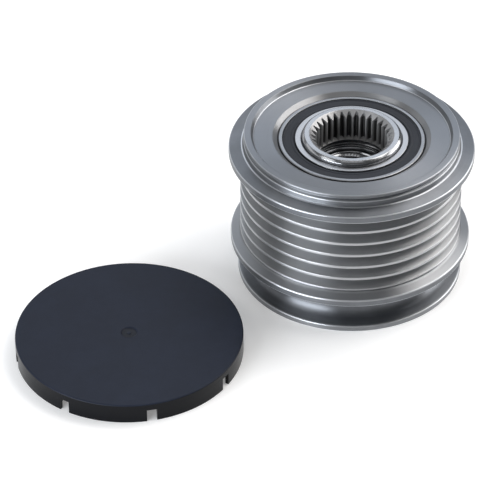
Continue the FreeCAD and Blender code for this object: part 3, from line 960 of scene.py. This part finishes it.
@dataclass
class Hub:
    """The hub: collar, threaded bore, stepped floor, undercut and a toothed socket at the front."""

    bore_radius: float = 7.19
    bore_mouth: float = 0.45
    collar_radius: float = 13.6
    collar_height: float = 0.98
    seat_radius: float = 12.5
    edge_bevel: float = 0.65
    mouth_radius: float = 10.64
    mouth_depth: float = 1.4
    tip_radius: float = 9.0
    root_radius: float = 10.25
    tooth_length: float = 8.22
    tooth_count: int = 33
    gap_width: float = 1.604
    gap_bottom: float = 0.35
    gap_overlap: float = 0.12
    gap_phase: float = math.radians(92.2)
    undercut_radius: float = 10.5
    undercut_height: float = 2.2
    step_radius: float = 9.7
    step_height: float = 0.7
    cone_radius: float = 8.05
    cone_height: float = 1.1
    gap_end: float = 0.07
    gap_rise: float = 0.36
    thread_pitch: float = 1.5
    thread_depth: float = 0.81
    thread_flank: float = math.radians(30)
    thread_steps: int = 60
    tap_overlap: float = 0.2
    steps: int = 264

    def heights(self) -> dict[str, float]:
        """Works out the heights of the socket's steps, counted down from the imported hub's top.

        Returns:
            The heights in millimetres, by name.
        """
        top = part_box("hub")[1].z / MM
        teeth = top - self.tooth_length
        undercut = teeth - self.undercut_height
        step = undercut - self.step_height
        bore = step - self.cone_height
        return {"top": top, "teeth": teeth, "undercut": undercut, "step": step, "bore": bore}

    def blank(self) -> Object:
        """Turns the hub without its teeth and thread."""
        at = self.heights()
        return turn("toothed_hub", [
            Corner(self.bore_radius + self.bore_mouth, 0, 0.05),
            Corner(self.collar_radius, 0, 0.3),
            Corner(self.collar_radius, self.collar_height, 0.1),
            Corner(self.seat_radius, self.collar_height),
            Corner(self.seat_radius, at["top"] - self.edge_bevel, 0.14),
            Corner(self.seat_radius - self.edge_bevel, at["top"], 0.14),
            Corner(self.mouth_radius, at["top"], 0.08),
            Corner(self.tip_radius, at["top"] - self.mouth_depth),
            Corner(self.tip_radius, at["teeth"]),
            Corner(self.undercut_radius, at["teeth"], 0.2),
            Corner(self.undercut_radius, at["undercut"], 0.4),
            Corner(self.step_radius, at["undercut"], 0.12),
            Corner(self.step_radius, at["step"], 0.2),
            Corner(self.cone_radius, at["step"], 0.1),
            Corner(self.bore_radius, at["bore"], 0.05),
            Corner(self.bore_radius, self.bore_mouth),
        ], self.steps)

    def gaps(self) -> Object:
        """Makes the cutter of all the gaps between the teeth, which slopes up outwards at its lower end.

        Returns:
            The cutter.
        """
        at = self.heights()
        inner = (self.tip_radius - self.gap_overlap, self.gap_width)
        outer = (self.root_radius, self.gap_bottom)
        low = at["teeth"] + self.gap_end
        tool = wedge("tooth_gaps", inner, outer, low, at["top"] + self.edge_bevel)
        middle = Vector(((inner[0] + outer[0]) / 2, 0, at["teeth"] + self.tooth_length / 2)) * MM
        with editing():
            pick(tool, lambda place: place.x > middle.x and place.z < middle.z)
            bpy.ops.transform.translate(value=(0, 0, self.gap_rise * MM))
        move_by(tool, (0, 0, 0), self.gap_phase)
        copy_round(tool, self.tooth_count)
        return tool

    def tap(self) -> Object:
        """Makes the cutter of the thread, a V-shaped ridge wound along the bore.

        Returns:
            The cutter.
        """
        inner = self.bore_radius - self.tap_overlap
        outer = self.bore_radius + self.thread_depth
        tip = self.thread_pitch / 8
        foot = tip + 2 * (outer - inner) * math.tan(self.thread_flank)
        start = -self.thread_pitch
        turns = math.ceil((self.heights()["step"] - start) / self.thread_pitch)
        tool = draw_section("thread_tap", [
            Corner(inner, start - foot / 2),
            Corner(outer, start - tip / 2),
            Corner(outer, start + tip / 2),
            Corner(inner, start + foot / 2),
        ])
        bpy.ops.object.mode_set(mode="OBJECT")
        winding = {"axis": "Z", "angle": FULL_TURN, "screw_offset": self.thread_pitch * MM}
        winding |= {"iterations": turns, "steps": self.thread_steps, "render_steps": self.thread_steps}
        apply_modifier(tool, "SCREW", winding | {"use_merge_vertices": False})
        bpy.ops.object.mode_set(mode="EDIT")
        close_mesh(len(tool.data.vertices))
        return tool

    def build(self) -> Piece:
        """Turns the blank, cuts the tooth gaps and taps the thread.

        Returns:
            The piece.
        """
        item = self.blank()
        cut(item, self.tap())
        cut(item, self.gaps())
        return Piece(item, ["hub"], Body.HUB, Slot.HUB)


@dataclass
class SealedBearing:
    """The visible parts of one ball bearing: both rings and the seal that faces outwards.

    The seal's bead is counted inwards from its edge and its lip outwards from its inner end, both down from
    its face.
    """

    end: str
    outward: int
    bore_radius: float = 12.52
    outer_radius: float = 18.48
    inner_shoulder: float = 14.15
    outer_shoulder: float = 16.9
    ball_circle: float = 15.5
    race_radius: float = 2.035
    seal_seat: float = 17.35
    seal_depth: float = 1.0
    seal_recess: float = 0.15
    seal_gap: float = 0.08
    seal_play: float = 0.02
    bead: tuple[Corner, ...] = (
        Corner(0.0, 0.12, 0.06),
        Corner(0.16, 0.0, 0.06),
        Corner(0.42, 0.0, 0.06),
        Corner(0.52, 0.14, 0.05),
    )
    lip: tuple[Corner, ...] = (
        Corner(1.05, 0.14, 0.05),
        Corner(0.9, 0.02, 0.06),
        Corner(0.42, 0.0, 0.08),
        Corner(0.3, 0.24, 0.06),
        Corner(0.0, 0.3, 0.05),
    )
    inner_bevel: float = 0.28
    outer_bevel: float = 0.3
    steps: int = 192
    race_steps: int = 10

    def span(self) -> tuple[float, float]:
        """Returns the heights of the bearing's two faces."""
        low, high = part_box(f"{self.end}_bearing_inner_ring")
        return low.z / MM, high.z / MM

    def race(self, shoulder: float, side: int) -> list[Corner]:
        """Draws the arc of a raceway between its shoulders.

        Args:
            shoulder: The shoulder's radius.
            side: -1 for the inner ring and 1 for the outer ring.

        Returns:
            The corners of the arc, from the low face to the high one.
        """
        low, high = self.span()
        middle = (low + high) / 2
        reach = math.acos(abs(shoulder - self.ball_circle) / self.race_radius)
        angles = [reach * (2 * n / self.race_steps - 1) for n in range(self.race_steps + 1)]
        arc = [(self.race_radius * math.cos(angle), self.race_radius * math.sin(angle)) for angle in angles]
        return [Corner(self.ball_circle + side * out, middle + up) for out, up in arc]

    def inner_ring(self) -> Piece:
        """Turns the inner ring.

        Returns:
            The piece.
        """
        low, high = self.span()
        bevel = self.inner_bevel
        item = turn(f"{self.end}_inner_ring", [
            Corner(self.bore_radius + bevel, low, 0.08),
            Corner(self.inner_shoulder, low, 0.1),
            *self.race(self.inner_shoulder, -1),
            Corner(self.inner_shoulder, high, 0.1),
            Corner(self.bore_radius + bevel, high, 0.08),
            Corner(self.bore_radius, high - bevel, 0.06),
            Corner(self.bore_radius, low + bevel, 0.06),
        ], self.steps)
        return Piece(item, [f"{self.end}_bearing_inner_ring"], Body.HUB, Slot.RING)

    def outer_ring(self) -> Piece:
        """Turns the outer ring.

        Returns:
            The piece.
        """
        low, high = self.span()
        bevel = self.outer_bevel
        item = turn(f"{self.end}_outer_ring", [
            Corner(self.outer_radius - bevel, low, 0.1),
            Corner(self.outer_radius, low + bevel, 0.1),
            Corner(self.outer_radius, high - bevel, 0.1),
            Corner(self.outer_radius - bevel, high, 0.1),
            Corner(self.seal_seat, high, 0.1),
            Corner(self.seal_seat, high - self.seal_depth),
            Corner(self.outer_shoulder, high - self.seal_depth),
            *reversed(self.race(self.outer_shoulder, 1)),
            Corner(self.outer_shoulder, low + self.seal_depth),
            Corner(self.seal_seat, low + self.seal_depth),
            Corner(self.seal_seat, low, 0.1),
        ], self.steps)
        return Piece(item, [f"{self.end}_bearing_outer_ring"], Body.RIM, Slot.RING)

    def seal(self) -> Piece:
        """Turns the outward seal, with a moulded bead at its edge and a stepped lip.

        Returns:
            The piece.
        """
        low, high = self.span()
        end = high if self.outward > 0 else low
        face = end - self.outward * self.seal_recess
        back = end - self.outward * self.seal_depth
        edge = self.seal_seat - self.seal_play
        inner = self.inner_shoulder + self.seal_gap
        item = turn(f"{self.end}_seal", [
            Corner(inner, back),
            Corner(edge, back),
            *(Corner(edge - c.radius, face - self.outward * c.height, c.rounding) for c in self.bead),
            *(Corner(inner + c.radius, face - self.outward * c.height, c.rounding) for c in self.lip),
        ], self.steps)
        side = "upper" if self.outward > 0 else "lower"
        return Piece(item, [f"{self.end}_bearing_{side}_seal"], Body.RIM, Slot.SEAL)

    def build(self) -> list[Piece]:
        """Builds the bearing's visible pieces."""
        return [self.inner_ring(), self.outer_ring(), self.seal()]


@dataclass
class DustCap:
    """The dust cap: a flat disc with a slotted skirt and a moulding dimple at its centre."""

    place: tuple[float, float] = (-55.4, -35.0)
    bore: float = 27.3
    radius: float = 28.25
    height: float = 5.3
    ceiling: float = 4.1
    edge_rounding: float = 0.42
    rib: float = 0.4
    rib_top: float = 3.07
    rib_height: float = 0.8
    slot_count: int = 8
    slot_width: float = 2.5
    slot_height: float = 3.4
    slot_phase: float = math.radians(-77.2)
    slot_rounding: float = 0.25
    gate_radius: float = 2.1
    gate_depth: float = 0.3
    nub_radius: float = 0.5
    steps: int = 240

    def shell(self) -> Object:
        """Turns the cap on its own axis, without its slots.

        Returns:
            The shell.
        """
        floor = self.height - self.gate_depth
        nub = self.height - self.gate_depth / 2
        return turn("slotted_cap", [
            Corner(0, self.ceiling),
            Corner(self.bore, self.ceiling, 0.3),
            Corner(self.bore, self.rib_top, 0.05),
            Corner(self.bore - self.rib, self.rib_top - self.rib, 0.1),
            Corner(self.bore - self.rib, self.rib_top - self.rib_height, 0.1),
            Corner(self.bore, self.rib_top - self.rib - self.rib_height, 0.05),
            Corner(self.bore, 0, 0.1),
            Corner(self.radius, 0, 0.12),
            Corner(self.radius, self.height, self.edge_rounding),
            Corner(self.gate_radius, self.height, 0.12),
            Corner(self.gate_radius - self.gate_depth, floor, 0.15),
            Corner(self.nub_radius, floor, 0.08),
            Corner(self.nub_radius, nub, 0.06),
            Corner(0, nub),
        ], self.steps)

    def slots(self) -> Object:
        """Makes the cutter of the skirt's slots, with their upper corners rounded.

        Returns:
            The cutter.
        """
        inner = (self.bore - 2 * self.rib, self.slot_width)
        outer = (self.radius + 2 * self.rib, self.slot_width)
        tool = wedge("skirt_slots", inner, outer, -self.ceiling, self.slot_height)
        top = self.slot_height * MM
        with editing():
            pick(tool, lambda place: abs(place.z - top) < PICK_TOLERANCE)
            mesh = bmesh.from_edit_mesh(tool.data)
            for edge in mesh.edges:
                ends = [vertex.co for vertex in edge.verts]
                level = all(abs(end.z - top) < PICK_TOLERANCE for end in ends)
                edge.select = level and abs(ends[0].y - ends[1].y) < PICK_TOLERANCE
            for face in mesh.faces:
                face.select = False
            bmesh.update_edit_mesh(tool.data)
            bpy.ops.mesh.bevel(offset=self.slot_rounding * MM, segments=ROUND_SEGMENTS, affect="EDGES")
        copy_round(tool, self.slot_count)
        return tool

    def build(self) -> Piece:
        """Turns the cap, cuts its slots and lays it in its place.

        Returns:
            The piece.
        """
        item = self.shell()
        cut(item, self.slots())
        move_by(item, (*self.place, 0), self.slot_phase)
        return Piece(item, ["dust_cap"], Body.HUB, Slot.CAP)


@dataclass(frozen=True)
class Softbox:
    """A soft area lamp that points at the pulley, placed by its direction seen from there.

    The azimuth counts in degrees from the camera's side towards the right, and the distance in millimetres.
    """

    name: str
    azimuth: float
    elevation: float
    size: tuple[float, float]
    radiance: float
    colour: Colour = (1.0, 1.0, 1.0)
    distance: float = 1000.0
    aim_height: float = 20.0

    def place(self) -> Vector:
        """Works out where the lamp stands.

        Returns:
            Its place in metres.
        """
        side, rise = math.radians(self.azimuth), math.radians(self.elevation)
        flat = math.cos(rise)
        return Vector((math.sin(side) * flat, -math.cos(side) * flat, math.sin(rise))) * self.distance * MM

    def build(self) -> None:
        """Adds the lamp."""
        name = f"{self.name}_softbox"
        lamp = bpy.data.lights.new(name, "AREA")
        lamp.shape = "RECTANGLE"
        lamp.size, lamp.size_y = (s * MM for s in self.size)
        lamp.energy = self.radiance * math.pi * lamp.size * lamp.size_y
        lamp.color = self.colour
        item = bpy.data.objects.new(name, lamp)
        bpy.context.scene.collection.objects.link(item)
        item.location = self.place()
        aim = Vector((0, 0, self.aim_height * MM))
        item.rotation_euler = (aim - item.location).to_track_quat("-Z", "Y").to_euler()


@dataclass
class Studio:
    """The plain pale floor, the soft lamps and the camera at the photograph's angle."""

    floor_size: float = 6000.0
    floor_gap: float = 0.02
    floor_colour: Colour = (0.86, 0.86, 0.86)
    floor_roughness: float = 0.9
    floor_gloss: float = 0.1
    paper: Grain = Grain(0.01, rough=0.5)
    paper_contrast: Span = (0.2, 0.8)
    paper_shade: float = 0.995
    camera_place: tuple[float, float, float] = (-25.37, -613.07, 470.15)
    elevation: float = 37.257
    roll: float = -0.202
    focal_pixels: float = 3000.0
    picture_pixels: float = 500.0
    sensor: float = 36.0
    half_pixel: float = 0.001
    nearest: float = 50.0
    floor_glow: float = 0.24
    world_level: float = 0.12
    world_colour: Colour = (0.97, 0.985, 1.0)
    lamps: tuple[Softbox, ...] = (
        Softbox("front_left", -45, 14, (750, 350), 11.6, (0.96, 1.0, 1.05)),
        Softbox("back_left", -140, 40, (600, 600), 0.4, (0.95, 1.0, 1.06)),
        Softbox("back", 178, 36, (800, 420), 1.55, (0.93, 0.99, 1.08)),
        Softbox("high_back", 180, 64, (700, 380), 1.6),
        Softbox("back_right", 138, 54, (520, 560), 1.8, (1.04, 1.0, 0.97)),
        Softbox("high_right", 100, 55, (600, 450), 4.0, (1.03, 1.0, 0.97)),
        Softbox("low_right", 110, 20, (750, 450), 4.7, (1.02, 1.0, 0.98)),
        Softbox("high_front", 0, 68, (600, 260), 1.2),
        Softbox("high_left", -63, 44, (420, 240), 3.0),
        Softbox("low_back_left", -143, 7, (700, 220), 1.2),
        Softbox("left", -102, 26, (800, 260), 1.3),
        Softbox("low_front", 5, 18, (500, 180), 0.7),
    )

    def floor(self) -> None:
        """Lays the floor."""
        start_alone()
        bpy.ops.mesh.primitive_plane_add(size=self.floor_size * MM, location=(0, 0, -self.floor_gap * MM))
        item = bpy.context.object
        item.name = "floor"
        tree = ShaderTree("pale_paper")
        cloud = tree.noise(tree.place(), self.paper).ramp(*self.paper_contrast)
        shaded = tuple(part * self.paper_shade for part in self.floor_colour)
        item.data.materials.append(tree.finish({
            "Base Color": tree.blend(cloud, shaded, self.floor_colour),
            "Roughness": self.floor_roughness,
            "Specular IOR Level": self.floor_gloss,
            "Emission Color": self.seen(tree),
            "Emission Strength": self.floor_glow,
        }))

    @staticmethod
    def seen(tree: ShaderTree) -> Signal:
        """Tells what is seen from what only gets stray light.

        Args:
            tree: The floor's tree.

        Returns:
            1 for what the camera sees straight, in a metal or through glass, and 0 for stray light.
        """
        straight, mirrored, through = (
            tree.add("ShaderNodeLightPath", output=f"Is {kind} Ray")
            for kind in ("Camera", "Glossy", "Transmission")
        )
        return straight.larger(mirrored).larger(through)

    def world(self) -> None:
        """Gives the scene its even surroundings."""
        world = bpy.data.worlds.new("studio")
        world.use_nodes = True
        ground = world.node_tree.nodes["Background"]
        ground.inputs["Color"].default_value = (*self.world_colour, 1.0)
        ground.inputs["Strength"].default_value = self.world_level
        bpy.context.scene.world = world

    def camera(self) -> None:
        """Sets the camera where the photograph's was."""
        lens = bpy.data.cameras.new("camera")
        lens.sensor_width = self.sensor
        lens.lens = self.focal_pixels * self.sensor / self.picture_pixels
        lens.shift_x = -self.half_pixel
        lens.shift_y = self.half_pixel
        lens.clip_start = self.nearest * MM
        item = bpy.data.objects.new("camera", lens)
        bpy.context.scene.collection.objects.link(item)
        item.location = Vector(self.camera_place) * MM
        item.rotation_mode = "ZYX"
        item.rotation_euler = (math.radians(90 - self.elevation), 0, math.radians(self.roll))
        bpy.context.scene.camera = item

    def build(self) -> None:
        """Sets up the whole studio."""
        self.floor()
        self.world()
        for lamp in self.lamps:
            lamp.build()
        self.camera()
        bpy.context.scene.view_settings.view_transform = "Standard"


def make_finishes() -> Finishes:
    """Makes the materials.

    Returns:
        One material for each slot of the record.
    """
    made = {
        Slot.RIM: BeltMetal(
            "satin_turned_steel", (0.15, 0.158, 0.17), (0.19, 0.2, 0.216),
            roughness=0.4, roughness_swing=0.12, stretch=0.8, mark_depth=0.01,
        ),
        Slot.HUB: HubMetal(
            "polished_hub_steel", (0.285, 0.292, 0.306), (0.345, 0.352, 0.366),
            roughness=0.22, roughness_swing=0.06, stretch=0.5, mark_depth=0.002,
        ),
        Slot.RING: RingMetal(
            "ground_ring_steel", (0.21, 0.216, 0.227), (0.25, 0.257, 0.27),
            roughness=0.28, roughness_swing=0.1, stretch=0.4, mark_depth=0.004,
        ),
        Slot.BALL: TurnedMetal(
            "polished_ball_steel", (0.5, 0.5, 0.51), (0.56, 0.56, 0.57),
            roughness=0.1, roughness_swing=0.04, stretch=0.0, mark_depth=0.001,
        ),
        Slot.SPRING: TurnedMetal(
            "spring_strip_steel", (0.3, 0.3, 0.31), (0.38, 0.38, 0.39),
            roughness=0.3, roughness_swing=0.1, stretch=0.0, mark_depth=0.003,
        ),
        Slot.SEAL: Moulded(
            "seal_rubber", (0.013, 0.0155, 0.022), (0.019, 0.0225, 0.031),
            roughness=0.6, gloss=0.3, grain_depth=0.01, grain=Grain(3.0),
        ),
        Slot.CAGE: Moulded(
            "cage_nylon", (0.3, 0.25, 0.15), (0.38, 0.32, 0.2),
            roughness=0.5, gloss=0.5, grain_depth=0.01, grain=Grain(2.0),
        ),
        Slot.CAP: CapPlastic(
            "cap_plastic", (0.0115, 0.015, 0.0262), (0.0155, 0.02, 0.034),
            roughness=0.5, gloss=0.14, grain_depth=0.02, grain=Grain(3.4), centre=(*DustCap.place, 0.0),
        ),
    }
    return {slot: finish.material() for slot, finish in made.items()}


def dress_nodes(finishes: Finishes) -> None:
    """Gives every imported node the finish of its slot.

    Args:
        finishes: The material of each slot.
    """
    slots = {row["node"]: Slot(row["material_slot"]) for row in frame["record"]["subparts"]}
    for name, node in frame["nodes"].items():
        node.data.materials.clear()
        node.data.materials.append(finishes[slots[name]])


def main() -> None:
    """Builds the pieces in order, dresses them and sets up the studio."""
    logging.basicConfig(level=logging.INFO, format="%(name)s: %(message)s")
    finishes = make_finishes()
    dress_nodes(finishes)
    pieces = [PulleyRim().build(), Hub().build()]
    for bearing in (SealedBearing("front", 1), SealedBearing("rear", -1)):
        pieces.extend(bearing.build())
    pieces.append(DustCap().build())
    for piece in pieces:
        piece.settle(finishes)
    Studio().build()


if __name__ == "__main__":
    main()
